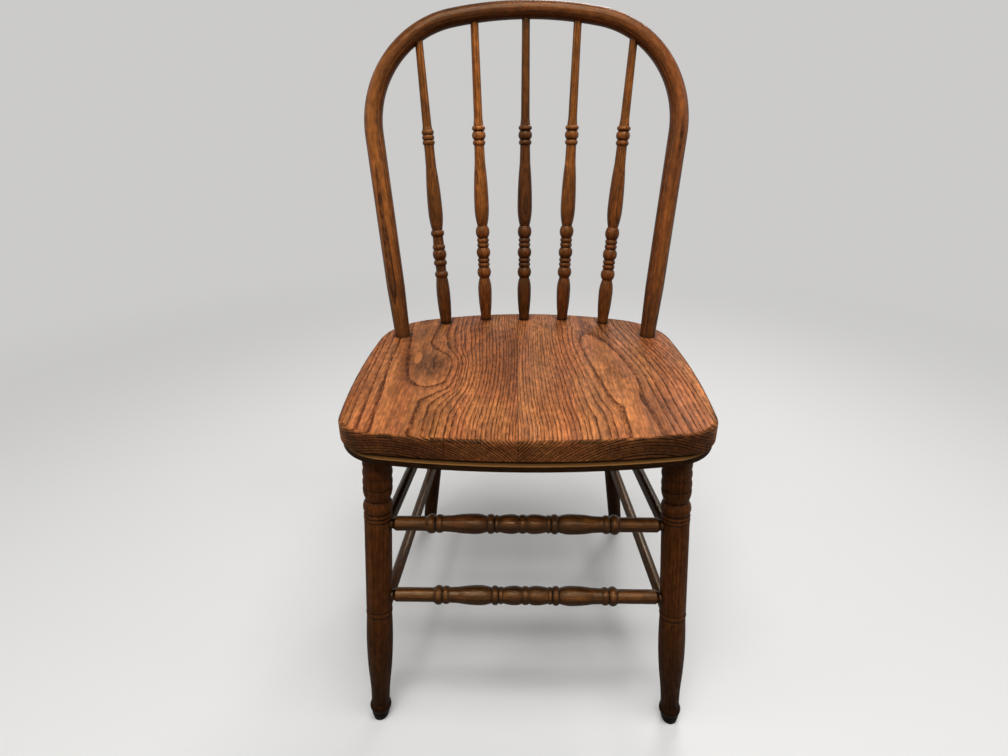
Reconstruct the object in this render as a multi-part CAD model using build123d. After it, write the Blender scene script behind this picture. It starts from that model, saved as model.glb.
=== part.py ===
"""Spindle back kitchen chair: a boarded seat on turned legs, with a bent bow and five back spindles.

Millimetres, +Z up, the sitter faces -Y. The chair is laid out about the middle of its seat and is then
moved so that the origin lies on the floor below the middle of its overall box.
"""
import os
from math import atan2, cos, radians, sin, sqrt

from build123d import *

# Seat boards
seat_height = 445.0
seat_depth = 404.5
seat_front = 202.0
seat_half_width = 218.8
board_thickness = 26.0
seat_widest_back = -20.0
front_corner_half_width = 208.8
front_bulge = 23.0
rear_corner_half_width = 208.0
rear_bulge = 53.0
front_corner_radius = 50.0
rear_corner_radius = 96.0
seat_edge_round = 6.0
seat_edge_chamfer = 2.0
dish_rim_radius = 160.0
dish_depth = 5.0
dish_middle_back = -10.0
left_joint = -88.0
right_joint = -10.0

# Cross strips under the boards
cleat_thickness = 13.0
cleat_inset = 0.5
cleat_front_corner_radius = 62.0
cleat_rear_corner_radius = 104.0
cleat_edge_round = 2.5
cleat_edge_chamfer = 5.0
front_cleat_width = 97.0
rear_cleat_width = 88.0

# Dowels in the board joints and screws through the strips
dowel_radius = 4.0
dowel_length = 40.0
dowel_rows = (-92.0, 92.0)
screw_head_radius = 4.4
screw_head_height = 3.0
screw_radius = 2.2
screw_length = 30.0
screw_slot_width = 1.1
screw_slot_depth = 1.2
screw_edge_distance = 16.0

# Legs: their tops in from the seat's side, front and rear, and how far their feet splay from there
front_leg_inset = 47.6
front_leg_setback = 54.0
front_leg_splay_out = 25.9
front_leg_splay_forward = 39.5
rear_leg_inset = 90.8
rear_leg_setback = 45.5
rear_leg_splay_out = 55.0
rear_leg_splay_back = 58.0
leg_tenon_radius = 11.0
leg_tenon_length = 19.0
leg_spare = 20.0

# Bow: its feet in from the seat's side and rear, and its bend
bow_foot_inset = 37.1
bow_foot_setback = 100.9
bow_lean = 13.5
bow_half_width = 211.8
bow_rise = 439.0
bow_corner_radius = 136.0
bow_crown_radius = 551.0
bow_radius = 13.0
bow_top_radius = 11.4
bow_foot_radius = 10.9
bow_foot_length = 70.0
bow_tenon_radius = 9.0
wedge_length = 15.0
wedge_thick_end = 3.0
wedge_thin_end = 0.8

# Back spindles, from the middle to the right: feet on the seat, in from its rear, and heads along the bow
spindle_foot_half_widths = (0.0, 60.6, 122.6)
spindle_foot_setbacks = (27.8, 27.7, 44.9)
spindle_head_half_widths = (0.0, 69.8, 146.0)
spindle_foot_radius = 8.0
spindle_tenon_radius = 6.0
spindle_tenon_length = 12.0
spindle_head_radius = 5.5
spindle_head_length = 26.0

# Stretchers
front_stretcher_height = 304.0
front_stretcher_drop = 104.0
front_stretcher_offset = -4.0
side_stretcher_drop = 29.0
side_stretcher_lower_drop = 46.0
side_stretcher_rise = 10.0
rear_stretcher_drop = 61.0
stretcher_radius = 8.8
side_stretcher_radius = 7.5
stretcher_tenon_radius = 6.2
stretcher_tenon_length = 13.0
stretcher_shoulder = 4.0
stretcher_stand_off = 1.6

# Radial room for glue in every round joint
glue_room = 0.06

# Turnings, read from the lower end up (stretchers from their middle outwards): shape, length and radius.
# A bead swells and comes back, a rise ends along the axis, and a fall or a flare starts along it.
# One plain length in each takes up what the others leave.
REST = None
centre_ring_radius = 11.4
foot_radius = 9.4
rear_foot_radius = 11.5
rear_leg_top_radius = 16.0
leg_plain_radius = 16.4
leg_ring_radius = 17.5

front_leg_turning = (
    ("rise", 12.5, 11.9), ("bead", 13.0, 14.1), ("flare", 42.0, 13.8), ("rise", 65.5, 16.8),
    ("fall", 39.0, 15.9), ("taper", 1.5, 14.7), ("bead", 8.5, 16.6), ("taper", 1.5, 16.2),
    ("taper", REST, leg_plain_radius), ("taper", 1.2, 15.3), ("bead", 5.2, 16.9), ("bead", 5.2, 16.9),
    ("bead", 14.8, leg_ring_radius), ("taper", 1.7, 13.6), ("rise", 15.5, 17.4), ("taper", 1.0, 16.2),
    ("bead", 13.5, leg_ring_radius), ("bead", 12.3, leg_ring_radius), ("rise", 6.0, leg_ring_radius),
    ("taper", 19.8, leg_ring_radius),
)
rear_leg_turning = (("taper", REST, rear_leg_top_radius),)
spindle_turning = (
    ("taper", 9.0, 8.2), ("rise", 39.0, 10.6), ("fall", 19.0, 7.5), ("bead", 16.5, 10.6),
    ("bead", 7.0, 9.2), ("bead", 7.0, 9.2), ("bead", 16.0, 10.6), ("bead", 7.0, 9.1),
    ("bead", 7.0, 9.1), ("bead", 18.0, 10.5), ("rise", 27.0, 10.9), ("fall", 62.0, 7.8),
    ("taper", 24.0, 7.2), ("bead", 7.5, 9.2), ("bead", 12.0, 9.9), ("bead", 7.0, 9.6),
    ("taper", 10.0, 6.2), ("taper", REST, spindle_head_radius),
)
odd_spindle_turning = (
    ("rise", 44.0, 10.5), ("fall", 28.0, 8.6), ("bead", 8.5, 10.2), ("taper", 1.0, 7.7),
    ("taper", 8.0, 8.0), ("bead", 8.5, 10.1), ("taper", 1.5, 8.2), ("bead", 14.0, 10.5),
    ("bead", 7.5, 9.7), ("taper", 12.0, 7.8), ("bead", 9.5, 10.1), ("rise", 27.0, 10.7),
    ("fall", 62.0, 7.6), ("taper", 23.0, 7.1), ("taper", 6.5, 7.3), ("bead", 6.8, 8.8),
    ("bead", 6.8, 8.8), ("bead", 6.8, 8.8), ("taper", 5.0, 6.4), ("taper", REST, spindle_head_radius),
)
stretcher_turning = (
    ("fall", 4.5, 9.9), ("rise", 8.5, 11.7), ("fall", 15.0, 9.5), ("bead", 5.5, 10.7),
    ("bead", 9.0, 11.9), ("rise", 14.0, 12.1), ("fall", 27.0, 9.9), ("taper", 11.5, 9.4),
    ("bead", 8.8, 11.1), ("bead", 10.4, 11.9), ("taper", 1.5, stretcher_radius),
    ("taper", REST, stretcher_radius),
    ("taper", stretcher_shoulder, stretcher_tenon_radius),
    ("taper", stretcher_stand_off + stretcher_tenon_length, stretcher_tenon_radius),
)
plain_turning = (
    ("taper", REST, side_stretcher_radius),
    ("taper", stretcher_shoulder, stretcher_tenon_radius),
    ("taper", stretcher_stand_off + stretcher_tenon_length, stretcher_tenon_radius),
)

UPRIGHT = (Align.CENTER, Align.CENTER, Align.MIN)
seat_rear = seat_depth - seat_front
seat_underside = seat_height - board_thickness
leg_height = seat_underside - cleat_thickness
front_leg_top = (seat_half_width - front_leg_inset, front_leg_setback - seat_front)
front_leg_foot = (front_leg_top[0] + front_leg_splay_out, front_leg_top[1] - front_leg_splay_forward)
rear_leg_top = (seat_half_width - rear_leg_inset, seat_rear - rear_leg_setback)
rear_leg_foot = (rear_leg_top[0] + rear_leg_splay_out, rear_leg_top[1] + rear_leg_splay_back)
bow_foot_half_width = seat_half_width - bow_foot_inset
bow_foot_back = seat_rear - bow_foot_setback
reach = 4 * seat_height
front_lower_height = front_stretcher_height - front_stretcher_drop
side_upper_height = front_stretcher_height - side_stretcher_drop
side_lower_height = front_lower_height - side_stretcher_lower_drop
rear_stretcher_height = side_upper_height + side_stretcher_rise - rear_stretcher_drop


def turned(story, start_radius, length):
    """A turned piece standing on the floor plane with its axis on Z."""
    spare = length - sum(step for _, step, _ in story if step is not REST)
    radius = start_radius
    height = 0.0
    outline = [Line((0, 0, 0), (radius, 0, 0))]
    for shape, step, target in story:
        rise = spare if step is REST else step
        here = (radius, 0, height)
        middle = (target, 0, height + rise / 2)
        height += rise
        if shape == "bead":
            outline.append(ThreePointArc(here, middle, (radius, 0, height)))
            continue
        there = (target, 0, height)
        if shape == "taper":
            outline.append(Line(here, there))
        elif shape == "rise":
            outline.append(TangentArc(there, here, tangent=(0, 0, -1)))
        else:
            outline.append(TangentArc(here, there, tangent=(0, 0, 1)))
        radius = target
    outline += [Line((radius, 0, height), (0, 0, height)), Line((0, 0, height), (0, 0, 0))]
    return revolve(make_face(outline), Axis.Z)


def standing(start, end):
    """The plane at start whose normal points to end."""
    return Plane(origin=start, z_dir=Vector(*end) - Vector(*start))


def peg(plane, radius, start, end):
    """A round bar along a plane's normal, between two distances from the plane."""
    return plane * Pos(0, 0, start) * Cylinder(radius, end - start, align=UPRIGHT)


def slab(low, high):
    """A wide block between two heights."""
    return Pos(0, 0, low) * Box(reach, reach, high - low, align=UPRIGHT)


def strip(low_x, high_x, low_y, high_y):
    """A tall block between two pairs of upright planes."""
    return Pos(low_x, low_y, 0) * Box(high_x - low_x, high_y - low_y, reach, align=Align.MIN)


def seat_outline(inset, front_radius, rear_radius):
    """The seat's plan: four arcs with rounded corners."""
    front_x = front_corner_half_width - inset
    front_y = front_bulge + inset - seat_front
    rear_x = rear_corner_half_width - inset
    rear_y = seat_rear - rear_bulge - inset
    side = (seat_half_width - inset, seat_widest_back)
    edges = [
        ThreePointArc((-front_x, front_y), (0, inset - seat_front), (front_x, front_y)),
        ThreePointArc((front_x, front_y), side, (rear_x, rear_y)),
        ThreePointArc((rear_x, rear_y), (0, seat_rear - inset), (-rear_x, rear_y)),
        ThreePointArc((-rear_x, rear_y), (-side[0], side[1]), (-front_x, front_y)),
    ]
    plan = make_face(edges)
    plan = fillet(plan.vertices().group_by(Axis.Y)[0], front_radius)
    return fillet(plan.vertices().group_by(Axis.Y)[-1], rear_radius)


def seat_blank():
    """The whole seat before it is sawn into boards, with its worn edges and shallow dish."""
    plan = seat_outline(0, front_corner_radius, rear_corner_radius)
    blank = Pos(0, 0, seat_underside) * extrude(plan, board_thickness)
    blank = fillet(blank.faces().sort_by(Axis.Z)[-1].edges(), seat_edge_round)
    blank = chamfer(blank.faces().sort_by(Axis.Z)[0].edges(), seat_edge_chamfer)
    ball_radius = (dish_rim_radius**2 + dish_depth**2) / (2 * dish_depth)
    return blank - Pos(0, dish_middle_back, seat_height - dish_depth + ball_radius) * Sphere(ball_radius)


def cleat_blank():
    """The outline that both strips under the seat are cut from."""
    plan = seat_outline(cleat_inset, cleat_front_corner_radius, cleat_rear_corner_radius)
    blank = Pos(0, 0, leg_height) * extrude(plan, cleat_thickness)
    blank = chamfer(blank.faces().sort_by(Axis.Z)[-1].edges(), cleat_edge_chamfer)
    return fillet(blank.faces().sort_by(Axis.Z)[0].edges(), cleat_edge_round)


def leg_point(top, foot, side, height):
    """A point on a leg's axis at a given height."""
    share = height / leg_height
    return (side * (foot[0] + (top[0] - foot[0]) * share), foot[1] + (top[1] - foot[1]) * share, height)


def leg_plane(top, foot, side):
    """The plane square to a leg at its top."""
    return standing(leg_point(top, foot, side, leg_height), leg_point(top, foot, side, 2 * leg_height))


def leg_body(story, start_radius, top, foot, side):
    """A turned leg, sawn level at the floor and under the seat, with its tenon."""
    low = leg_point(top, foot, side, 0)
    high = leg_point(top, foot, side, leg_height)
    length = (Vector(*high) - Vector(*low)).length
    grown = standing(low, high) * turned(story, start_radius, length)
    foot_end = peg(standing(low, high), start_radius, -leg_spare, 0)
    head_radius = story[-1][2]
    head_end = peg(standing(low, high), head_radius, length, length + leg_spare)
    body = (grown + foot_end + head_end) & slab(0, leg_height)
    return body + peg(leg_plane(top, foot, side), leg_tenon_radius, -leg_spare, leg_tenon_length)


def rear_leg_radius(height):
    """The radius of the plain rear leg at a given height."""
    return rear_foot_radius + (rear_leg_top_radius - rear_foot_radius) * height / leg_height


def stretcher(story, start_radius, ends, leg_radii, offset):
    """A stretcher from its middle to both legs: its solid and its two sockets."""
    axis = standing(*ends)
    span = (Vector(*ends[1]) - Vector(*ends[0])).length
    near_end = leg_radii[0] - stretcher_tenon_length
    far_end = span - leg_radii[1] + stretcher_tenon_length
    middle = span / 2 + offset
    far_half = turned(story, start_radius, far_end - middle)
    near_half = mirror(turned(story, start_radius, middle - near_end), about=Plane.XY)
    body = axis * Pos(0, 0, middle) * (far_half + near_half)
    socket_radius = stretcher_tenon_radius + glue_room
    sockets = [
        peg(axis, socket_radius, near_end, leg_radii[0] + leg_spare),
        peg(axis, socket_radius, span - leg_radii[1] - leg_spare, far_end),
    ]
    return body, sockets


def bow_point(across, along):
    """A point of the bow's leaning plane, from the seat up."""
    lean = radians(bow_lean)
    return (across, bow_foot_back + along * sin(lean), seat_height + along * cos(lean))


bow_corner_across = bow_half_width - bow_corner_radius
bow_crown_centre = bow_rise - bow_crown_radius
bow_corner_reach = bow_crown_radius - bow_corner_radius
bow_corner_along = bow_crown_centre + sqrt(bow_corner_reach**2 - bow_corner_across**2)
bow_foot_across = bow_foot_half_width - bow_corner_across
bow_side_length = sqrt(bow_foot_across**2 + bow_corner_along**2 - bow_corner_radius**2)
bow_side_turn = atan2(-bow_corner_along, bow_foot_across) + atan2(bow_side_length, bow_corner_radius)
bow_top_turn = atan2(bow_corner_along - bow_crown_centre, bow_corner_across)


def bow_corner_point(turn):
    """A point on the middle line of the bow's corner, at an angle up from level."""
    across = bow_corner_across + bow_corner_radius * cos(turn)
    along = bow_corner_along + bow_corner_radius * sin(turn)
    return bow_point(across, along)


def bow_head(across):
    """The point of the bow's middle line above a given half width."""
    join = bow_corner_across + bow_corner_radius * cos(bow_top_turn)
    if across <= join:
        return bow_point(across, bow_crown_centre + sqrt(bow_crown_radius**2 - across**2))
    rise = sqrt(bow_corner_radius**2 - (across - bow_corner_across) ** 2)
    return bow_point(across, bow_corner_along + rise)


def mirrored(point):
    """The same point on the left hand side."""
    return (-point[0], point[1], point[2])


def bow_foot_plane(side):
    """The plane square to the bow where its middle line meets the seat, pointing up the bow."""
    foot = bow_point(bow_foot_half_width, 0)
    shoulder = bow_corner_point(bow_side_turn)
    if side < 0:
        return standing(mirrored(foot), mirrored(shoulder))
    return standing(foot, shoulder)


def bow_tenon(side, room):
    """The round end of the bow that runs through the seat, or with room added, its hole."""
    return peg(bow_foot_plane(side), bow_tenon_radius + room, -board_thickness - leg_spare, leg_spare)


def bow_body():
    """The bent bow, thinner over its crown, with its tapered feet and tenons."""
    shoulder = bow_corner_point(bow_side_turn)
    bend = bow_corner_point((bow_side_turn + bow_top_turn) / 2)
    join = bow_corner_point(bow_top_turn)
    top = bow_point(0, bow_rise)
    path = Wire([
        ThreePointArc(shoulder, bend, join),
        ThreePointArc(join, top, mirrored(join)),
        ThreePointArc(mirrored(join), mirrored(bend), mirrored(shoulder)),
    ])
    sections = [
        Plane(origin=shoulder, z_dir=path % 0) * Circle(bow_radius),
        Plane(origin=top, z_dir=(-1, 0, 0)) * Circle(bow_top_radius),
        Plane(origin=mirrored(shoulder), z_dir=path % 1) * Circle(bow_radius),
    ]
    bow = sweep(sections, path, multisection=True)
    for side in (-1, 1):
        plane = bow_foot_plane(side)
        cone = plane * Cone(bow_foot_radius, bow_radius, bow_foot_length, align=UPRIGHT)
        foot = cone + peg(plane, bow_foot_radius, -leg_spare, 0)
        bow += peg(plane, bow_radius, bow_foot_length, bow_side_length)
        bow += foot & slab(seat_height, reach)
        bow += bow_tenon(side, 0.0)
    return bow & slab(seat_underside, reach)


def bow_wedge(side, room):
    """The wedge driven into a bow tenon from below, or with room added, its slot."""
    plane = bow_foot_plane(side)
    foot = plane.origin - plane.z_dir * (board_thickness / plane.z_dir.Z)
    tip = foot + plane.z_dir * (wedge_length / plane.z_dir.Z)
    width = 2 * bow_tenon_radius
    low = Pos(foot.X, foot.Y, foot.Z) * Rectangle(width, wedge_thick_end + 2 * room)
    high = Pos(tip.X, tip.Y, tip.Z) * Rectangle(width, wedge_thin_end + 2 * room)
    return loft([low.face(), high.face()])


def screw(place, room):
    """A slotted countersunk screw driven up from under a strip, or with room added, its hole."""
    head = Cone(screw_head_radius + room, screw_radius + room, screw_head_height, align=UPRIGHT)
    shank = Cylinder(screw_radius + room, screw_length, align=UPRIGHT)
    return Pos(place[0], place[1], leg_height) * (head + shank)


def screw_slot(place):
    """The driver slot in a screw's head."""
    slot = Box(2 * screw_head_radius, screw_slot_width, 2 * screw_slot_depth)
    return Pos(place[0], place[1], leg_height) * slot


def spindle(number, side):
    """A back spindle's axis plane, its length up to the bow's middle line and its solid."""
    foot = (
        side * spindle_foot_half_widths[number], seat_rear - spindle_foot_setbacks[number], seat_height
    )
    head = bow_head(spindle_head_half_widths[number])
    head = mirrored(head) if side < 0 else head
    plane = standing(foot, head)
    length = (Vector(*head) - Vector(*foot)).length
    odd = side < 0 and number == len(spindle_foot_half_widths) - 1
    story = odd_spindle_turning if odd else spindle_turning
    grown = plane * turned(story, spindle_foot_radius, length - spindle_head_length)
    foot_end = peg(plane, spindle_foot_radius, -leg_spare, 0)
    head_end = peg(plane, spindle_head_radius, length - spindle_head_length, length)
    body = (grown + foot_end + head_end) & slab(seat_height, reach)
    body += peg(plane, spindle_tenon_radius, -spindle_tenon_length, spindle_foot_radius)
    return plane, length, body


HANDS = ((-1, "left"), (1, "right"))
nodes = {}
seat_sockets = []
bow_sockets = []

# Legs and their sockets in the seat
leg_kinds = {
    "front": (front_leg_turning, foot_radius, front_leg_top, front_leg_foot),
    "rear": (rear_leg_turning, rear_foot_radius, rear_leg_top, rear_leg_foot),
}
for kind, (story, start_radius, top, foot) in leg_kinds.items():
    for side, hand in HANDS:
        nodes[f"{kind}_leg_{hand}"] = leg_body(story, start_radius, top, foot, side)
        socket_radius = leg_tenon_radius + glue_room
        seat_sockets.append(peg(leg_plane(top, foot, side), socket_radius, -leg_spare, leg_tenon_length))

# Stretchers between the legs
for level, height, offset in (
    ("upper", front_stretcher_height, front_stretcher_offset),
    ("lower", front_lower_height, 0.0),
):
    ends = [leg_point(front_leg_top, front_leg_foot, side, height) for side in (-1, 1)]
    body, sockets = stretcher(
        stretcher_turning, centre_ring_radius, ends, (leg_plain_radius, leg_plain_radius), offset
    )
    nodes[f"front_stretcher_{level}"] = body
    nodes["front_leg_left"] -= sockets[0]
    nodes["front_leg_right"] -= sockets[1]
for level, height in (("upper", side_upper_height), ("lower", side_lower_height)):
    for side, hand in HANDS:
        rear_height = height + side_stretcher_rise
        front_end = leg_point(front_leg_top, front_leg_foot, side, height)
        rear_end = leg_point(rear_leg_top, rear_leg_foot, side, rear_height)
        leg_radii = (leg_plain_radius, rear_leg_radius(rear_height))
        body, sockets = stretcher(
            plain_turning, side_stretcher_radius, (front_end, rear_end), leg_radii, 0.0
        )
        nodes[f"side_stretcher_{hand}_{level}"] = body
        nodes[f"front_leg_{hand}"] -= sockets[0]
        nodes[f"rear_leg_{hand}"] -= sockets[1]
rear_radius = rear_leg_radius(rear_stretcher_height)
ends = [leg_point(rear_leg_top, rear_leg_foot, side, rear_stretcher_height) for side in (-1, 1)]
body, sockets = stretcher(plain_turning, side_stretcher_radius, ends, (rear_radius, rear_radius), 0.0)
nodes["rear_stretcher"] = body
nodes["rear_leg_left"] -= sockets[0]
nodes["rear_leg_right"] -= sockets[1]

# Back: spindles, bow and wedges
spindle_order = [(2, -1), (1, -1), (0, 1), (1, 1), (2, 1)]
for place, (number, side) in enumerate(spindle_order, start=1):
    plane, length, body = spindle(number, side)
    nodes[f"back_spindle_{place}"] = body
    seat_sockets.append(peg(plane, spindle_tenon_radius + glue_room, -spindle_tenon_length, leg_spare))
    bow_sockets.append(peg(plane, spindle_head_radius + glue_room, length - spindle_head_length, length))
bow = bow_body()
for cutter in bow_sockets:
    bow -= cutter
for side in (-1, 1):
    bow -= bow_wedge(side, glue_room)
    seat_sockets.append(bow_tenon(side, glue_room))
nodes["bow"] = bow
nodes["bow_tenon_wedges"] = Compound([bow_wedge(side, 0.0) & bow_tenon(side, 0.0) for side in (-1, 1)])

# Seat: boards, dowels, strips and screws
front_strip_back = front_cleat_width - seat_front
rear_strip_front = seat_rear - rear_cleat_width
board_limits = {
    "left": (-reach, left_joint),
    "middle": (left_joint, right_joint),
    "right": (right_joint, reach),
}
board_middles = (
    (left_joint - seat_half_width) / 2,
    (left_joint + right_joint) / 2,
    (right_joint + seat_half_width) / 2,
)
screw_places = [
    (across, back)
    for across in board_middles
    for back in (front_strip_back - screw_edge_distance, rear_strip_front + screw_edge_distance)
]
dowels = []
for joint in (left_joint, right_joint):
    for row in dowel_rows:
        joint_plane = Plane(origin=(joint, row, seat_height - board_thickness / 2), z_dir=(1, 0, 0))
        dowels.append(peg(joint_plane, dowel_radius, -dowel_length / 2, dowel_length / 2))
        hole = dowel_length / 2 + glue_room
        seat_sockets.append(peg(joint_plane, dowel_radius + glue_room, -hole, hole))
nodes["seat_joint_dowels"] = Compound(dowels)
seat_sockets += [screw(place, glue_room) for place in screw_places]
nodes["cleat_screws"] = Compound([screw(place, 0.0) - screw_slot(place) for place in screw_places])

seat = seat_blank()
for name, (low, high) in board_limits.items():
    nodes[f"seat_board_{name}"] = seat & strip(low, high, -reach, reach)
cleats = cleat_blank()
nodes["front_cleat"] = cleats & strip(-reach, reach, -reach, front_strip_back)
nodes["rear_cleat"] = cleats & strip(-reach, reach, rear_strip_front, reach)
for name in [name for name in nodes if name.startswith("seat_board") or name.endswith("cleat")]:
    for cutter in seat_sockets:
        nodes[name] -= cutter

# Put the origin under the middle of the whole chair and write each piece
overall = Compound([solid for shape in nodes.values() for solid in shape.solids()]).bounding_box()
move = (-overall.center().X, -overall.center().Y, -overall.min.Z)
os.makedirs("parts", exist_ok=True)
for name, shape in nodes.items():
    solids = [Pos(*move) * solid for solid in shape.solids()]
    export_step(solids[0] if len(solids) == 1 else Compound(solids), f"parts/{name}.step")
    print(name, len(solids), round(sum(solid.volume for solid in solids)))
print("moved by", [round(value, 2) for value in move])
print("overall", [round(value, 1) for value in overall.size])
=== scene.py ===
"""Looks of a spindle back chair: stained wood and worn varnish, with a studio and a camera around it.

Every wooden piece is cut from its own log. A piece's points carry their place in that log, so the growth
rings run through the piece and show as lines on its faces and as arcs on its end grain.
"""

import math
from collections import namedtuple

import bpy
import numpy as np
from mathutils import Matrix, Vector

MM = 0.001

# Camera: the photograph's viewpoint
IMAGE_WIDTH = 1008
SENSOR_WIDTH = 36.0
FOCAL_PIXELS = 600.0
CAMERA_PLACE = (-0.0118, -0.7454, 0.7693)
CAMERA_YAW = 0.02298
CAMERA_DOWN = 0.44148
CAMERA_ROLL = -0.00779
CAMERA_NEAREST = 0.01

# Studio: a pale floor that rises into a round wall, lamps above and in front, and soft fills
FLOOR_RADIUS = 2.6
COVE_RADIUS = 1.2
WALL_HEIGHT = 4.6
STUDIO_SIDES = 96
COVE_STEPS = 10
FLOOR_STEPS = 8
FLOOR_ROUGHNESS = 0.8
FLOOR_COLOUR = (0.84, 0.833, 0.82, 1.0)
WALL_COLOUR = (0.60, 0.595, 0.585, 1.0)
FLOOR_SHADE = (0.24, 0.235, 0.225, 1.0)
WALL_START = 0.7
WALL_FULL = 2.3
WORLD_COLOUR = (1.0, 0.99, 0.97, 1.0)
WORLD_STRENGTH = 0.11
Lamp = namedtuple("Lamp", "name place aim size watts")
LAMPS = (
    Lamp("ceiling_lamp", (0.10, -0.55, 2.75), (0.0, 0.0, 0.4), (2.0, 0.6), 36.0),
    Lamp("front_lamp", (-0.10, -1.75, 2.60), (0.0, 0.0, 0.4), (1.8, 0.4), 25.0),
    Lamp("left_fill", (-2.2, -0.5, 1.7), (0.0, 0.0, 0.5), (1.0, 1.0), 7.0),
    Lamp("right_fill", (2.2, -0.3, 1.7), (0.0, 0.0, 0.5), (1.0, 1.0), 7.0),
    Lamp("rear_lamp", (0.6, 2.0, 2.3), (0.0, 0.0, 0.6), (1.2, 0.8), 28.0),
)

# Bow: the middle line that its grain follows, in its leaning plane
BOW_FOOT_HALF_WIDTH = 0.1817
BOW_FOOT_PLACE = (0.0, 0.08929, 0.445)
BOW_LEAN = math.radians(13.5)
BOW_HALF_WIDTH = 0.2118
BOW_RISE = 0.439
BOW_CORNER_RADIUS = 0.136
BOW_CROWN_RADIUS = 0.551
BOW_STEPS = 120
BOW_TENON_SHARE = 0.2

# Wood: colours of the hard and the porous part of a growth ring, how strongly the rings show, ring width
# and wander in millimetres, and how the surface is kept
# groove: how dark the painted shade and dirt in the grooves get
Wood = namedtuple("Wood", "pale dark lines ring wander relief rough groove gloss")
WOODS = {
    "leg_wood": Wood(
        pale=(0.135, 0.043, 0.009), dark=(0.030, 0.008, 0.002), lines=0.45, ring=2.4, wander=5.0,
        relief=0.35, rough=0.36, groove=0.10, gloss=0.11,
    ),
    "rung_wood": Wood(
        pale=(0.120, 0.041, 0.008), dark=(0.030, 0.009, 0.002), lines=0.45, ring=2.2, wander=4.0,
        relief=0.25, rough=0.25, groove=0.10, gloss=0.40,
    ),
    "spindle_wood": Wood(
        pale=(0.330, 0.106, 0.020), dark=(0.075, 0.020, 0.004), lines=0.75, ring=2.2, wander=3.0,
        relief=0.25, rough=0.31, groove=0.12, gloss=0.32,
    ),
    "bow_wood": Wood(
        pale=(0.235, 0.072, 0.014), dark=(0.038, 0.008, 0.002), lines=1.00, ring=2.8, wander=4.0,
        relief=0.30, rough=0.33, groove=0.28, gloss=0.30,
    ),
    "seat_wood": Wood(
        pale=(0.500, 0.174, 0.049), dark=(0.125, 0.029, 0.004), lines=1.00, ring=2.6, wander=4.0,
        relief=0.80, rough=0.45, groove=0.30, gloss=0.12,
    ),
    # The cleats' near-black colours are partly a dark stain and partly painted shade from under the seat
    "cleat_wood": Wood(
        pale=(0.030, 0.013, 0.005), dark=(0.010, 0.004, 0.001), lines=0.70, ring=3.0, wander=5.0,
        relief=0.40, rough=0.50, groove=0.30, gloss=0.08,
    ),
}
VARNISH_TINT = (1.0, 0.74, 0.46, 1.0)
RED_STAIN = (0.88, 0.78, 0.84, 1.0)
WORN_STAIN = (0.76, 0.66, 0.66, 1.0)
# Golden upper edge of the cleats: partly stain worn off, partly painted light on the edge that faces up
WORN_AND_LIT_EDGE = (0.42, 0.19, 0.054, 1.0)
WORN_AND_LIT_SHARE = 0.9
# Painted shade and old dirt in the grooves and along the joints, found by ambient occlusion
DIRT_AND_SHADE_REACH = 7.0 * MM
DIRT_AND_SHADE_SAMPLES = 6

# Growth rings: how porous a ring is from its start to its end, and how much the rings vary
EARLYWOOD = (
    (0.0, 1.0), (0.12, 0.95), (0.22, 0.52), (0.40, 0.22),
    (0.60, 0.06), (0.85, 0.0), (0.97, 0.0), (1.0, 1.0),
)
FLUTTER_SHARE = 0.30
YEARS_SCALE = 0.31
YEARS_SHIFT = 1.6
FAINTEST_LINES = 0.85
BOLDEST_LINES = 1.15
RING_RELIEF = 0.6

# Pores: their colour, how much of it shows, their depth and how many lie in the hard wood
PORE_COLOUR = (0.050, 0.013, 0.002, 1.0)
PORE_STRENGTH = 0.75
PORE_DEPTH = 0.4 * MM
HARD_WOOD_PORES = 0.40
POROUS_WOOD_PORES = 0.60

# Roughness: how far it falls and rises with handling, and how far it rises in the porous wood
ROUGH_FALL = 0.06
ROUGH_RISE = 0.10
POROUS_ROUGH_RISE = 0.08

# Screws
STEEL_COLOUR = (0.33, 0.31, 0.29, 1.0)
RUST_COLOUR = (0.13, 0.055, 0.025, 1.0)
SCRATCH_DEPTH = 0.1 * MM
SCRATCH_RELIEF = 0.2

# Noise in the log: waves per metre across, deep and along it
NOISE_ROUGHNESS = 0.55
SWAY_SCALE = (10.0, 10.0, 2.4)
FLUTTER_SCALE = (85.0, 85.0, 11.0)
LINE_SCALE = (40.0, 40.0, 6.0)
BEAD_SCALE = (240.0, 240.0, 110.0)
STAIN_SCALE = (23.0, 23.0, 3.0)
PORE_SCALE = (700.0, 700.0, 70.0)
HANDLING_SCALE = (30.0, 30.0, 10.0)
BEND_SCALE = (20.0, 20.0, 14.0)
Layer = namedtuple("Layer", "scale detail fade")
TONE_LAYERS = {
    "fibre": Layer((420.0, 420.0, 14.0), 4.0, (0.30, 0.70, 0.70, 1.24)),
    "blotch": Layer((18.0, 18.0, 7.0), 5.0, (0.30, 0.70, 0.72, 1.20)),
    "mottle": Layer((170.0, 170.0, 75.0), 3.0, (0.35, 0.65, 0.76, 1.20)),
}

# Noise in the room: waves per metre along X, Y and Z
# Noise that breaks up the painted highlight on the rungs
RUNG_HIGHLIGHT_BREAKUP_SCALE = (45.0, 45.0, 45.0)
SCUFF_SCALE = (55.0, 55.0, 55.0)
RUST_SCALE = (700.0, 700.0, 700.0)
SCRATCH_SCALE = (2600.0, 300.0, 2600.0)

# Spans: where a measure starts to count and where it counts in full
LINE_SPAN = (0.25, 0.75)
STAIN_SPAN = (0.40, 0.62)
PORE_SPAN = (0.52, 0.62)
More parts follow.
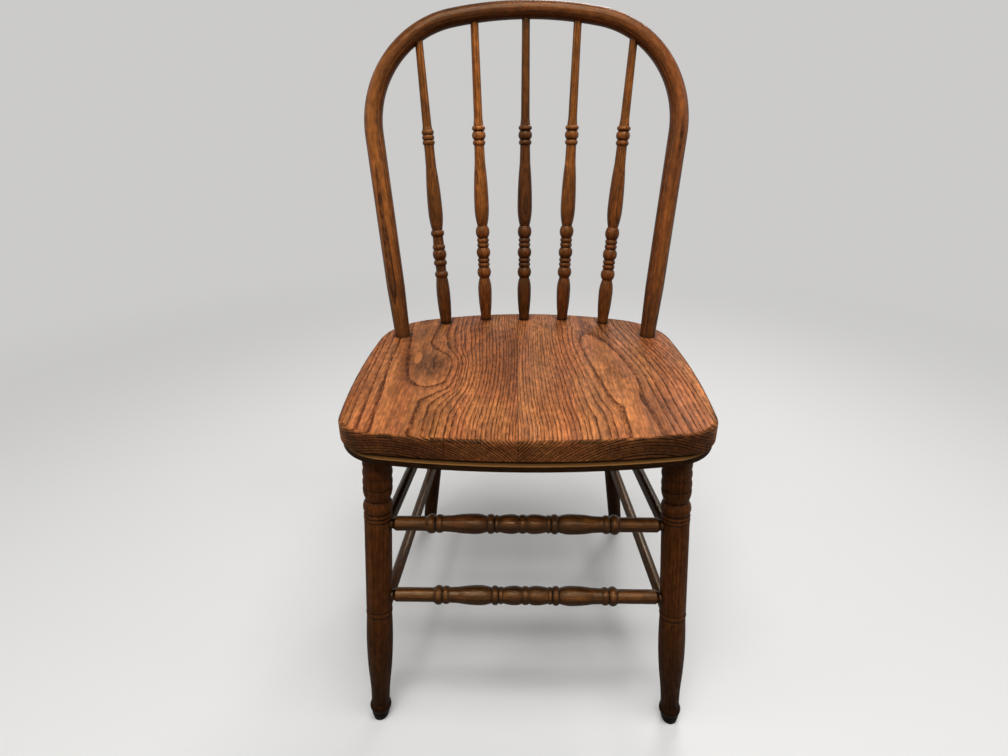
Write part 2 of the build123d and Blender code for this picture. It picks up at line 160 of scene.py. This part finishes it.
# Ambient occlusion that turns into painted shade and dirt
DIRT_AND_SHADE_SPAN = (0.58, 0.99)
HANDLING_SPAN = (0.3, 0.7)
PATCH_FRONT_SPAN = (-0.15, -0.09)
PATCH_REAR_SPAN = (0.125, 0.100)
PATCH_SIDE_SPAN = (-0.078, -0.050)
LEAN_ACROSS_SPAN = (-0.128, -0.045)
LEAN_ALONG_SPAN = (-0.08, 0.17)
RUST_SPAN = (0.50, 0.66)

# Fades: a span, and the level at both of its ends
BEAD_FADE = (0.35, 0.65, 0.55, 1.20)
# Feet and lower legs darker: partly worn, partly painted shade near the floor
FOOT_WORN_AND_SHADE_FADE = (0.0, 0.060, 0.12, 1.0)
LEG_WORN_AND_SHADE_FADE = (0.05, 0.26, 0.40, 1.0)
# Painted highlight on the rungs' upper front, broken up by noise, and painted shade on the rest of each
# rung
RUNG_HIGHLIGHT_BREAKUP_FADE = (0.35, 0.65, 0.35, 1.0)
RUNG_HIGHLIGHT_FADE = (0.0, 1.0, 0.62, 1.90)
# Painted light on the spindles' side that faces front and up
SPINDLE_PAINTED_LIGHT_FADE = (0.0, 1.0, 0.80, 1.26)
SPINDLE_FADE = (0.46, 0.68, 0.52, 1.0)
# Painted light on the bow's side that faces front and up
BOW_PAINTED_LIGHT_FADE = (0.0, 1.0, 0.80, 1.20)
BOW_FOOT_FADE = (0.44, 0.66, 0.62, 1.0)
# Painted shade over the top of the bow's crown
BOW_CROWN_SHADE_FADE = (0.80, 0.87, 1.0, 0.62)
# Seat darker towards the rear: partly painted shade, partly a more worn front
SEAT_REAR_SHADE_AND_WORN_FRONT_FADE = (-0.16, 0.20, 1.0, 0.70)
END_GRAIN_FADE = (0.0, 0.7, 0.42, 0.12)
END_MIDDLE_FADE = (0.03, 0.14, 1.70, 0.90)
SCUFF_FADE = (0.42, 0.58, 0.25, 0.95)
RIM_FADE = (0.0, 1.0, 1.0, 0.35)
GLUE_LINE_FADE = (0.0002, 0.0010, 0.50, 1.0)
# Painted shade on the seat's underside
UNDERSIDE_SHADE_FADE = (0.0, 1.0, 1.0, 0.45)
EYE_FADE = (0.0, 1.0, 1.0, 0.46)
DROP_FADE = (0.30, 0.55, 0.0, 0.90)
SCRATCH_FADE = (0.3, 0.7, 0.32, 0.52)
RUSTY_METAL_FADE = (0.0, 1.0, 1.0, 0.25)

# Sides: an axis, and how nearly a surface faces along it where that starts to count and counts in full
Side = namedtuple("Side", "axis start full")
# The side of the rungs that gets the painted highlight
RUNG_HIGHLIGHT_SIDE = Side((0.0, -0.64, 0.77), 0.72, 1.0)
# The side of the spindles and the bow that gets painted light
BACK_LIT_SIDE = Side((0.0, -0.87, 0.50), 0.10, 1.0)
SEAT_FRONT = Side((0.0, -1.0, 0.0), 0.40, 0.75)
SEAT_REAR = Side((0.0, 1.0, 0.0), 0.40, 0.75)
SEAT_UNDERSIDE = Side((0.0, 0.0, -1.0), 0.4, 0.8)
RIM_INSIDE = Side((0.0, 0.0, 1.0), 0.995, 0.93)
RIM_OUTSIDE = Side((0.0, 0.0, 1.0), 0.20, 0.45)
CLEAT_TOP = Side((0.0, 0.0, 1.0), 0.15, 0.45)

# Marks on the left board
Mark = namedtuple("Mark", "across along half_width half_length")
EYE_SHADE = Mark(-0.134, -0.006, 0.028, 0.058)
DROP = Mark(-0.146, 0.006, 0.0050, 0.020)

# Logs: where the heart of its log lies from a piece's axis (across, deep) and how dark the piece is
Log = namedtuple("Log", "across deep tone")
LOGS = {
    "front_leg_left": Log(-0.050, 0.040, 1.05),
    "front_leg_right": Log(0.036, 0.055, 0.85),
    "rear_leg_left": Log(0.030, 0.050, 0.80),
    "rear_leg_right": Log(-0.045, 0.035, 0.80),
    "front_stretcher_upper": Log(0.020, -0.045, 1.00),
    "front_stretcher_lower": Log(-0.015, -0.050, 0.95),
    "side_stretcher_left_upper": Log(0.040, 0.020, 0.75),
    "side_stretcher_left_lower": Log(0.035, -0.030, 0.95),
    "side_stretcher_right_upper": Log(-0.040, 0.020, 0.75),
    "side_stretcher_right_lower": Log(-0.030, -0.035, 0.90),
    "rear_stretcher": Log(0.025, 0.040, 0.75),
    "back_spindle_1": Log(0.040, 0.020, 0.66),
    "back_spindle_2": Log(-0.030, 0.035, 1.05),
    "back_spindle_3": Log(0.004, 0.034, 0.44),
    "back_spindle_4": Log(-0.040, 0.025, 0.78),
    "back_spindle_5": Log(0.030, 0.035, 0.80),
}
BOW_LOG = Log(0.010, 0.060, 1.00)
WEDGE_LOG = Log(0.030, 0.030, 0.80)
DOWEL_LOG = Log(0.030, 0.020, 1.20)
CLEAT_LOG = Log(0.015, 0.060, 1.00)
END_SHARE = 0.04
UPRIGHT = 0.7

# Seat boards: where the log's heart lies across and below the seat's top, and how it slopes
SEAT_TOP = 0.445
SEAT_JOINTS = (-0.0880, -0.0100)
Board = namedtuple("Board", "across depth slope tone")
BOARDS = {
    "seat_board_left": Board(-0.150, 0.151, 0.010, 1.00),
    "seat_board_middle": Board(-0.150, 0.151, 0.010, 0.94),
    "seat_board_right": Board(0.125, 0.1393, -0.003, 1.00),
}

# Eye in the left boards: where the rings swell to the right and how far
EYE_ACROSS = 0.040
EYE_ALONG = -0.036
EYE_HALF_WIDTH = 0.034
EYE_HALF_LENGTH = 0.064
EYE_SHIFT = 0.023
EYE_BEND = 0.020
EYE_BLUNTNESS = 4.0

# Lean of the rings in the right board: how far they move to the left at the rear
LEAN_SHIFT = 0.032


class Nodes:
    """Writes a node tree as nested calls. A value for an input is a constant or another node's output."""

    def __init__(self, tree):
        self.tree = tree

    def add(self, kind, inputs, **settings):
        node = self.tree.nodes.new("ShaderNode" + kind)
        for name, value in settings.items():
            setattr(node, name, value)
        for key, value in inputs.items():
            self.put(node.inputs[key], value)
        return node

    def put(self, socket, value):
        if isinstance(value, bpy.types.NodeSocket):
            self.tree.links.new(value, socket)
        else:
            socket.default_value = value

    def math(self, operation, first, second=0.0):
        return self.add("Math", {0: first, 1: second}, operation=operation).outputs[0]

    def plus(self, first, second):
        return self.math("ADD", first, second)

    def times(self, first, second):
        return self.math("MULTIPLY", first, second)

    def vector(self, operation, first, second=(0.0, 0.0, 0.0)):
        return self.add("VectorMath", {0: first, 1: second}, operation=operation)

    def noise(self, place, scale, detail=2.0):
        stretched = self.vector("MULTIPLY", place, scale).outputs[0]
        inputs = {"Vector": stretched, "Scale": 1.0, "Detail": detail, "Roughness": NOISE_ROUGHNESS}
        return self.add("TexNoise", inputs).outputs[0]

    def spread(self, value, low, high, start=0.0, end=1.0):
        inputs = {0: value, 1: low, 2: high, 3: start, 4: end}
        return self.add("MapRange", inputs, interpolation_type="SMOOTHSTEP").outputs[0]

    def ramp(self, value, stops):
        node = self.add("ValToRGB", {0: value})
        elements = node.color_ramp.elements
        while len(elements) < len(stops):
            elements.new(0.5)
        for element, (place, level) in zip(elements, stops):
            element.position = place
            element.color = (level, level, level, 1.0)
        return node.outputs[0]

    def mix(self, share, first, second, blend="MIX"):
        inputs = {0: share, 6: first, 7: second}
        return self.add("Mix", inputs, data_type="RGBA", blend_type=blend).outputs[2]

    def tint(self, colour, level):
        """The colour made brighter or darker by a level that changes over the surface."""
        return self.mix(1.0, colour, level, blend="MULTIPLY")


def points_of(obj):
    """The points of a piece, one row each."""
    flat = np.empty(len(obj.data.vertices) * 3, np.float32)
    obj.data.vertices.foreach_get("co", flat)
    return flat.reshape(-1, 3).astype(float)


def write_grain(obj, places, tone):
    """Store where each point sits in its log, and the piece's own tone, for the wood material to read."""
    grain = obj.data.attributes.new("grain", "FLOAT_VECTOR", "POINT")
    grain.data.foreach_set("vector", places.astype(np.float32).ravel())
    tones = obj.data.attributes.new("tone", "FLOAT", "POINT")
    tones.data.foreach_set("value", np.full(len(places), tone, np.float32))


def axis_ends(points):
    """The middles of a straight piece's two ends."""
    low, high = points.min(0), points.max(0)
    long = (high - low).argmax()
    margin = END_SHARE * (high - low)[long]
    start = points[points[:, long] < low[long] + margin].mean(0)
    end = points[points[:, long] > high[long] - margin].mean(0)
    return start, end


def lay_straight_grain(obj, log):
    """Grain along a straight piece, with the log's heart beside the piece's axis."""
    points = points_of(obj)
    start, end = axis_ends(points)
    along = (end - start) / np.linalg.norm(end - start)
    level = np.array((0.0, 0.0, 1.0)) if abs(along[2]) < UPRIGHT else np.array((0.0, -1.0, 0.0))
    side = np.cross(along, level)
    side /= np.linalg.norm(side)
    deep = np.cross(side, along)
    local = (points - start) @ np.stack((side, deep, along), axis=1)
    write_grain(obj, local + np.array((log.across, log.deep, 0.0)), log.tone)


def lay_board_grain(obj, board):
    """Grain from the front of a seat board to its rear, with the heart below it and sloping."""
    points = points_of(obj)
    across = points[:, 0] - board.across
    deep = points[:, 2] - SEAT_TOP + board.depth - board.slope * points[:, 1]
    write_grain(obj, np.stack((across, deep, points[:, 1]), axis=1), board.tone)


def lay_cleat_grain(obj, log):
    """Grain from the left of a strip to its right."""
    points = points_of(obj)
    across = points[:, 1] - points[:, 1].mean() + log.across
    deep = points[:, 2] - points[:, 2].mean() + log.deep
    write_grain(obj, np.stack((across, deep, points[:, 0]), axis=1), log.tone)


def bow_line():
    """The right half of the bow's middle line, from foot to crown, as (across, up the leaning plane)."""
    corner_across = BOW_HALF_WIDTH - BOW_CORNER_RADIUS
    crown_centre = BOW_RISE - BOW_CROWN_RADIUS
    corner_up = crown_centre + math.sqrt((BOW_CROWN_RADIUS - BOW_CORNER_RADIUS) ** 2 - corner_across**2)
    foot_across = BOW_FOOT_HALF_WIDTH - corner_across
    side = math.sqrt(foot_across**2 + corner_up**2 - BOW_CORNER_RADIUS**2)
    first_turn = math.atan2(-corner_up, foot_across) + math.atan2(side, BOW_CORNER_RADIUS)
    last_turn = math.atan2(corner_up - crown_centre, corner_across)
    corner = [
        (
            corner_across + BOW_CORNER_RADIUS * math.cos(turn),
            corner_up + BOW_CORNER_RADIUS * math.sin(turn),
        )
        for turn in np.linspace(first_turn, last_turn, BOW_STEPS)
    ]
    crown = [
        (BOW_CROWN_RADIUS * math.cos(turn), crown_centre + BOW_CROWN_RADIUS * math.sin(turn))
        for turn in np.linspace(last_turn, math.pi / 2, BOW_STEPS)
    ]
    foot = np.array((BOW_FOOT_HALF_WIDTH, 0.0))
    below = foot + (foot - np.array(corner[0])) * BOW_TENON_SHARE
    return np.array([tuple(below), *corner, *crown[1:]])


def lay_bow_grain(obj, log):
    """Grain that follows the bow's bend, from the left foot over the crown to the right foot."""
    points = points_of(obj) - np.array(BOW_FOOT_PLACE)
    up = points[:, 1] * math.sin(BOW_LEAN) + points[:, 2] * math.cos(BOW_LEAN)
    deep = points[:, 2] * math.sin(BOW_LEAN) - points[:, 1] * math.cos(BOW_LEAN)
    flat = np.stack((np.abs(points[:, 0]), up), axis=1)
    line = bow_line()
    starts, runs = line[:-1], np.diff(line, axis=0)
    lengths = np.linalg.norm(runs, axis=1)
    reached = np.concatenate(([0.0], np.cumsum(lengths)))
    offset = flat[:, None, :] - starts[None, :, :]
    share = np.clip((offset * runs).sum(2) / lengths**2, 0.0, 1.0)
    gap = np.linalg.norm(offset - share[:, :, None] * runs, axis=2)
    best = gap.argmin(1)
    rows = np.arange(len(points))
    turn = runs[best, 0] * offset[rows, best, 1] - runs[best, 1] * offset[rows, best, 0]
    across = -np.sign(turn) * gap[rows, best]
    along = (reached[-1] - reached[best] - share[rows, best] * lengths[best]) * np.sign(points[:, 0])
    places = np.stack((across + log.across, deep + log.deep, along), axis=1)
    write_grain(obj, places, log.tone)


def ring_level(n, grain, wood):
    """How deep in the porous part of its growth ring a point is, from 0 to 1."""
    flat = n.vector("MULTIPLY", grain, (1.0, 1.0, 0.0)).outputs[0]
    distance = n.vector("LENGTH", flat).outputs["Value"]
    sway = n.plus(n.noise(grain, SWAY_SCALE), -0.5)
    flutter = n.plus(n.noise(grain, FLUTTER_SCALE), -0.5)
    distance = n.plus(distance, n.times(sway, wood.wander * MM))
    distance = n.plus(distance, n.times(flutter, FLUTTER_SHARE * wood.ring * MM))
    rings = n.math("DIVIDE", distance, wood.ring * MM)
    inputs = {"W": rings, "Scale": YEARS_SCALE, "Detail": 1.0}
    years = n.add("TexNoise", inputs, noise_dimensions="1D").outputs[0]
    return n.ramp(n.math("FRACT", n.plus(rings, n.times(years, YEARS_SHIFT))), EARLYWOOD)


def wood_colour(n, grain, wood, early, pores):
    """Stained wood: ring colours, long fibres, blotches of stain and the piece's own tone."""
    levels = FAINTEST_LINES * wood.lines, BOLDEST_LINES * wood.lines
    strength = n.spread(n.noise(grain, LINE_SCALE), *LINE_SPAN, *levels)
    beads = n.spread(n.noise(grain, BEAD_SCALE), *BEAD_FADE)
    colour = n.mix(n.times(early, n.times(strength, beads)), (*wood.pale, 1.0), (*wood.dark, 1.0))
    for layer in TONE_LAYERS.values():
        colour = n.tint(colour, n.spread(n.noise(grain, layer.scale, layer.detail), *layer.fade))
    stain = n.spread(n.noise(grain, STAIN_SCALE), *STAIN_SPAN)
    colour = n.mix(stain, colour, n.tint(colour, RED_STAIN))
    colour = n.mix(n.times(pores, PORE_STRENGTH), colour, PORE_COLOUR)
    tone = n.add("Attribute", {}, attribute_name="tone").outputs["Fac"]
    return n.tint(colour, tone)


def dirt_and_groove_shade(n, colour, groove):
    """Painted shade and old dirt in the grooves and along the joints, from ambient occlusion."""
    shade = n.add("AmbientOcclusion", {"Distance": DIRT_AND_SHADE_REACH}, samples=DIRT_AND_SHADE_SAMPLES).outputs["AO"]
    return n.tint(colour, n.spread(shade, *DIRT_AND_SHADE_SPAN, groove, 1.0))


def varnish(n, material, wood, colour, rough, height):
    """The satin varnish over the wood, with its open pores."""
    bump = n.add("Bump", {"Strength": wood.relief, "Distance": PORE_DEPTH, "Height": height})
    shader = material.node_tree.nodes["Principled BSDF"]
    settings = {
        "Base Color": colour, "Roughness": rough, "Normal": bump.outputs[0],
        "Specular IOR Level": wood.gloss, "Specular Tint": VARNISH_TINT,
    }
    for name, value in settings.items():
        n.put(shader.inputs[name], value)


def wood_material(name, wood, finish, figure=None):
    """A varnished wood with rings and pores. A finish colours it by place, in some pieces with painted
    light and shade, and a figure bends its rings.
    """
    material = bpy.data.materials.new(name)
    material.use_nodes = True
    n = Nodes(material.node_tree)
    grain = n.add("Attribute", {}, attribute_name="grain").outputs["Vector"]
    early = ring_level(n, figure(n, grain) if figure else grain, wood)
    specks = n.spread(n.noise(grain, PORE_SCALE, detail=1.0), *PORE_SPAN)
    pores = n.times(specks, n.plus(n.times(early, POROUS_WOOD_PORES), HARD_WOOD_PORES))
    colour = finish(n, wood_colour(n, grain, wood, early, pores), early)
    # Painted shade and old dirt in the grooves and along the joints
    colour = dirt_and_groove_shade(n, colour, wood.groove)
    handling = n.noise(grain, HANDLING_SCALE, detail=3.0)
    rough = n.spread(handling, *HANDLING_SPAN, wood.rough - ROUGH_FALL, wood.rough + ROUGH_RISE)
    rough = n.plus(rough, n.times(early, POROUS_ROUGH_RISE))
    height = n.math("SUBTRACT", n.times(early, -RING_RELIEF), pores)
    varnish(n, material, wood, colour, rough, height)
    return material


def facing(n, side):
    """From 0 to 1 as the surface turns to a side."""
    normal = n.add("NewGeometry", {}).outputs["Normal"]
    return n.spread(n.vector("DOT_PRODUCT", normal, side.axis).outputs["Value"], side.start, side.full)


def place(n, axis):
    """A coordinate of the surface: X, Y or Z."""
    position = n.add("NewGeometry", {}).outputs["Position"]
    return n.add("SeparateXYZ", {0: position}).outputs[axis]


def leg_finish_and_painted_shade(n, colour, early):
    """Legs darker towards the floor, with the feet nearly black: partly worn, partly painted shade near
    the floor.
    """
    height = place(n, "Z")
    # Darker feet and lower legs: partly worn, partly painted shade near the floor
    colour = n.tint(colour, n.spread(height, *FOOT_WORN_AND_SHADE_FADE))
    return n.tint(colour, n.spread(height, *LEG_WORN_AND_SHADE_FADE))


def rung_painted_highlight(n, colour, early):
    """Rungs with a painted highlight along the upper front, broken up by noise, and painted shade on the
    rest.
    """
    position = n.add("NewGeometry", {}).outputs["Position"]
    highlight_breakup = n.spread(n.noise(position, RUNG_HIGHLIGHT_BREAKUP_SCALE, detail=3.0), *RUNG_HIGHLIGHT_BREAKUP_FADE)
    # Painted highlight where the rung faces front and up; painted shade on the rest
    highlight_mask = n.times(facing(n, RUNG_HIGHLIGHT_SIDE), highlight_breakup)
    return n.tint(colour, n.spread(highlight_mask, *RUNG_HIGHLIGHT_FADE))


def spindle_tone_and_painted_light(n, colour, early):
    """Spindles darker towards the seat, with painted light on the side that faces front and up."""
    # Painted light on the side that faces front and up
    colour = n.tint(colour, n.spread(facing(n, BACK_LIT_SIDE), *SPINDLE_PAINTED_LIGHT_FADE))
    return n.tint(colour, n.spread(place(n, "Z"), *SPINDLE_FADE))


def bow_tone_and_painted_light(n, colour, early):
    """A bow darker at its feet, with painted shade over the top of its crown and painted light on the
    side that faces front and up.
    """
    # Painted light on the side that faces front and up
    colour = n.tint(colour, n.spread(facing(n, BACK_LIT_SIDE), *BOW_PAINTED_LIGHT_FADE))
    height = place(n, "Z")
    colour = n.tint(colour, n.spread(height, *BOW_FOOT_FADE))
    # Painted shade over the top of the crown
    return n.tint(colour, n.spread(height, *BOW_CROWN_SHADE_FADE))


def seat_finish_and_painted_shade(n, colour, early):
    """Seat boards darker towards the rear, partly painted shade and partly a more worn front, with dark
    end grain, glue lines and painted shade on the underside.
    """
    # Darker towards the rear: partly painted shade, partly a more worn front
    colour = n.tint(colour, n.spread(place(n, "Y"), *SEAT_REAR_SHADE_AND_WORN_FRONT_FADE))
    ends = n.plus(facing(n, SEAT_FRONT), facing(n, SEAT_REAR))
    end_grain = n.tint(colour, n.spread(early, *END_GRAIN_FADE))
    middle = n.math("ABSOLUTE", place(n, "X"))
    end_grain = n.tint(end_grain, n.spread(middle, *END_MIDDLE_FADE))
    colour = n.mix(n.math("MINIMUM", ends, 1.0), colour, end_grain)
    position = n.add("NewGeometry", {}).outputs["Position"]
    scuffs = n.spread(n.noise(position, SCUFF_SCALE, detail=4.0), *SCUFF_FADE)
    rim = n.times(facing(n, RIM_INSIDE), facing(n, RIM_OUTSIDE))
    colour = n.tint(colour, n.spread(n.times(rim, scuffs), *RIM_FADE))
    for joint in SEAT_JOINTS:
        gap = n.math("ABSOLUTE", n.plus(place(n, "X"), -joint))
        colour = n.tint(colour, n.spread(gap, *GLUE_LINE_FADE))
    # Painted shade on the underside
    return n.tint(colour, n.spread(facing(n, SEAT_UNDERSIDE), *UNDERSIDE_SHADE_FADE))


def spot(n, mark):
    """From 0 to 1 towards the middle of an oval mark on the seat."""
    wide = n.math("DIVIDE", n.plus(place(n, "X"), -mark.across), mark.half_width)
    long = n.math("DIVIDE", n.plus(place(n, "Y"), -mark.along), mark.half_length)
    return n.math("EXPONENT", n.times(n.plus(n.times(wide, wide), n.times(long, long)), -1.0))


def left_finish(n, colour, early):
    """The left board, dark inside the eye and with a pale drop in it."""
    colour = n.tint(colour, n.spread(spot(n, EYE_SHADE), *EYE_FADE))
    drop = n.spread(spot(n, DROP), *DROP_FADE)
    colour = n.mix(drop, colour, (*WOODS["seat_wood"].pale, 1.0))
    return seat_finish_and_painted_shade(n, colour, early)


def middle_finish(n, colour, early):
    """The middle board, with a darker worn patch towards the rear."""
    along = place(n, "Y")
    length = n.times(n.spread(along, *PATCH_FRONT_SPAN), n.spread(along, *PATCH_REAR_SPAN))
    patch = n.times(length, n.spread(place(n, "X"), *PATCH_SIDE_SPAN))
    return seat_finish_and_painted_shade(n, n.mix(patch, colour, n.tint(colour, WORN_STAIN)), early)


def cleat_finish_and_painted_light(n, colour, early):
    """Strips with a golden upper edge, partly stain worn off and partly painted light on the edge that
    faces up.
    """
    # Golden upper edge: partly stain worn off, partly painted light on the edge that faces up
    return n.mix(n.times(facing(n, CLEAT_TOP), WORN_AND_LIT_SHARE), colour, WORN_AND_LIT_EDGE)


def eye_figure(n, grain):
    """The grain of the left boards, pushed to the right round an eye."""
    parts = n.add("SeparateXYZ", {0: grain}).outputs
    bend = n.times(n.plus(n.noise(grain, BEND_SCALE), -0.5), EYE_BEND)
    across = n.math("DIVIDE", n.plus(n.plus(parts["X"], bend), -EYE_ACROSS), EYE_HALF_WIDTH)
    along = n.math("DIVIDE", n.plus(n.plus(parts["Z"], bend), -EYE_ALONG), EYE_HALF_LENGTH)
    wide = n.times(across, across)
    long = n.math("POWER", n.math("ABSOLUTE", along), EYE_BLUNTNESS)
    reach = n.plus(wide, long)
    shift = n.times(n.math("EXPONENT", n.times(reach, -1.0)), -EYE_SHIFT)
    return n.vector("ADD", grain, n.add("CombineXYZ", {"X": shift}).outputs[0]).outputs[0]


def lean_figure(n, grain):
    """The grain of the right board, leaning to the left towards the rear."""
    parts = n.add("SeparateXYZ", {0: grain}).outputs
    share = n.times(n.spread(parts["X"], *LEAN_ACROSS_SPAN), n.spread(parts["Z"], *LEAN_ALONG_SPAN))
    shift = n.add("CombineXYZ", {"X": n.times(share, LEAN_SHIFT)}).outputs[0]
    return n.vector("ADD", grain, shift).outputs[0]


def steel_material(name):
    """Dull grey screws with turning marks and a little rust."""
    material = bpy.data.materials.new(name)
    material.use_nodes = True
    n = Nodes(material.node_tree)
    position = n.add("NewGeometry", {}).outputs["Position"]
    rust = n.spread(n.noise(position, RUST_SCALE, detail=4.0), *RUST_SPAN)
    scratch = n.noise(position, SCRATCH_SCALE)
    shader = material.node_tree.nodes["Principled BSDF"]
    n.put(shader.inputs["Base Color"], n.mix(rust, STEEL_COLOUR, RUST_COLOUR))
    n.put(shader.inputs["Roughness"], n.spread(scratch, *SCRATCH_FADE))
    n.put(shader.inputs["Metallic"], n.spread(rust, *RUSTY_METAL_FADE))
    bump = n.add("Bump", {"Strength": SCRATCH_RELIEF, "Distance": SCRATCH_DEPTH, "Height": scratch})
    n.put(shader.inputs["Normal"], bump.outputs[0])
    return material


def dress(nodes):
    """Give every piece its grain and its material."""
    for name, log in LOGS.items():
        lay_straight_grain(nodes[name], log)
    for name, board in BOARDS.items():
        lay_board_grain(nodes[name], board)
    for name in ("front_cleat", "rear_cleat"):
        lay_cleat_grain(nodes[name], CLEAT_LOG)
    lay_bow_grain(nodes["bow"], BOW_LOG)
    lay_straight_grain(nodes["bow_tenon_wedges"], WEDGE_LOG)
    lay_straight_grain(nodes["seat_joint_dowels"], DOWEL_LOG)
    seat = WOODS["seat_wood"]
    looks = {
        "front_leg": wood_material("leg_wood_look", WOODS["leg_wood"], leg_finish_and_painted_shade),
        "front_stretcher": wood_material("rung_wood_look", WOODS["rung_wood"], rung_painted_highlight),
        "back_spindle": wood_material("spindle_wood_look", WOODS["spindle_wood"], spindle_tone_and_painted_light),
        "bow": wood_material("bow_wood_look", WOODS["bow_wood"], bow_tone_and_painted_light),
        "seat_board_left": wood_material("seat_left_look", seat, left_finish, eye_figure),
        "seat_board_middle": wood_material("seat_middle_look", seat, middle_finish, eye_figure),
        "seat_board_right": wood_material("seat_right_look", seat, seat_finish_and_painted_shade, lean_figure),
        "front_cleat": wood_material("cleat_wood_look", WOODS["cleat_wood"], cleat_finish_and_painted_light),
        "cleat_screws": steel_material("screw_steel_look"),
    }
    looks["rear_leg"] = looks["front_leg"]
    looks["side_stretcher"] = looks["rear_stretcher"] = looks["front_stretcher"]
    looks["seat_joint_dowels"] = looks["seat_board_right"]
    looks["rear_cleat"] = looks["front_cleat"]
    for name, obj in nodes.items():
        kind = max((key for key in looks if name.startswith(key)), key=len)
        obj.material_slots[0].material = looks[kind]


def studio_profile():
    """Radius and height along the floor, up the cove and up the wall."""
    profile = [(FLOOR_RADIUS * step / FLOOR_STEPS, 0.0) for step in range(1, FLOOR_STEPS + 1)]
    for step in range(1, COVE_STEPS + 1):
        turn = math.pi / 2 * step / COVE_STEPS
        profile.append((FLOOR_RADIUS + COVE_RADIUS * math.sin(turn), COVE_RADIUS * (1 - math.cos(turn))))
    return [*profile, (FLOOR_RADIUS + COVE_RADIUS, WALL_HEIGHT)]


def build_studio():
    """The pale floor and the round wall that it rises into."""
    profile = studio_profile()
    points = [(0.0, 0.0, 0.0)]
    for radius, height in profile:
        for side in range(STUDIO_SIDES):
            turn = 2 * math.pi * side / STUDIO_SIDES
            points.append((radius * math.cos(turn), radius * math.sin(turn), height))
    faces = [(0, 1 + side, 1 + (side + 1) % STUDIO_SIDES) for side in range(STUDIO_SIDES)]
    for ring in range(len(profile) - 1):
        inner, outer = 1 + ring * STUDIO_SIDES, 1 + (ring + 1) * STUDIO_SIDES
        for side in range(STUDIO_SIDES):
            after = (side + 1) % STUDIO_SIDES
            faces.append((inner + side, outer + side, outer + after, inner + after))
    mesh = bpy.data.meshes.new("studio_floor")
    mesh.from_pydata(points, [], faces)
    mesh.shade_smooth()
    mesh.materials.append(floor_material())
    floor = bpy.data.objects.new("studio_floor", mesh)
    bpy.context.scene.collection.objects.link(floor)


def floor_material():
    """Pale floor paint that throws little light back up, and a wall that shows evenly pale."""
    material = bpy.data.materials.new("studio_floor_look")
    material.use_nodes = True
    n = Nodes(material.node_tree)
    rays = n.add("LightPath", {}).outputs
    seen = n.plus(n.plus(rays["Is Camera Ray"], rays["Is Glossy Ray"]), rays["Is Transmission Ray"])
    seen = n.math("MINIMUM", seen, 1.0)
    shader = material.node_tree.nodes["Principled BSDF"]
    n.put(shader.inputs["Base Color"], n.mix(rays["Is Camera Ray"], FLOOR_SHADE, FLOOR_COLOUR))
    n.put(shader.inputs["Roughness"], FLOOR_ROUGHNESS)
    position = n.add("NewGeometry", {}).outputs["Position"]
    level = n.vector("MULTIPLY", position, (1.0, 1.0, 0.0)).outputs[0]
    radius = n.vector("LENGTH", level).outputs["Value"]
    wall = n.times(seen, n.spread(radius, WALL_START, WALL_FULL))
    glow = n.add("Emission", {"Color": WALL_COLOUR, "Strength": 1.0}).outputs[0]
    mixed = n.add("MixShader", {0: wall, 1: shader.outputs[0], 2: glow})
    n.put(material.node_tree.nodes["Material Output"].inputs["Surface"], mixed.outputs[0])
    return material


def light_studio():
    """A plain world and the lamps."""
    world = bpy.data.worlds.new("studio_world")
    world.use_nodes = True
    background = world.node_tree.nodes["Background"]
    background.inputs["Color"].default_value = WORLD_COLOUR
    background.inputs["Strength"].default_value = WORLD_STRENGTH
    bpy.context.scene.world = world
    for lamp in LAMPS:
        light = bpy.data.lights.new(lamp.name, "AREA")
        light.shape = "RECTANGLE"
        light.size, light.size_y = lamp.size
        light.energy = lamp.watts
        holder = bpy.data.objects.new(lamp.name, light)
        holder.location = lamp.place
        aim = Vector(lamp.aim) - Vector(lamp.place)
        holder.rotation_euler = aim.to_track_quat("-Z", "Y").to_euler()
        bpy.context.scene.collection.objects.link(holder)


def place_camera():
    """The photograph's camera: where it stood, how it was turned and its lens."""
    data = bpy.data.cameras.new("photo_camera")
    data.sensor_width = SENSOR_WIDTH
    data.lens = FOCAL_PIXELS / IMAGE_WIDTH * SENSOR_WIDTH
    data.clip_start = CAMERA_NEAREST
    turn = Matrix.Rotation(CAMERA_YAW, 4, "Z")
    turn @= Matrix.Rotation(math.pi / 2 - CAMERA_DOWN, 4, "X")
    turn @= Matrix.Rotation(CAMERA_ROLL, 4, "Z")
    camera = bpy.data.objects.new("photo_camera", data)
    camera.matrix_world = Matrix.Translation(CAMERA_PLACE) @ turn
    bpy.context.scene.collection.objects.link(camera)
    bpy.context.scene.camera = camera


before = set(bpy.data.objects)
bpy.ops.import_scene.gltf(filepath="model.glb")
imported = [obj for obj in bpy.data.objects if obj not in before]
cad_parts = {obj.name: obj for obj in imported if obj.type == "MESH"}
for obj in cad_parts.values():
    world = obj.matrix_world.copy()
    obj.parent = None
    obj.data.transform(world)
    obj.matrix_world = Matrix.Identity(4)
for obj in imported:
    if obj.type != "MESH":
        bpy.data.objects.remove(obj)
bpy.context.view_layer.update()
bpy.context.scene.view_settings.view_transform = "Standard"
place_camera()
build_studio()
light_studio()
dress(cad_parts)
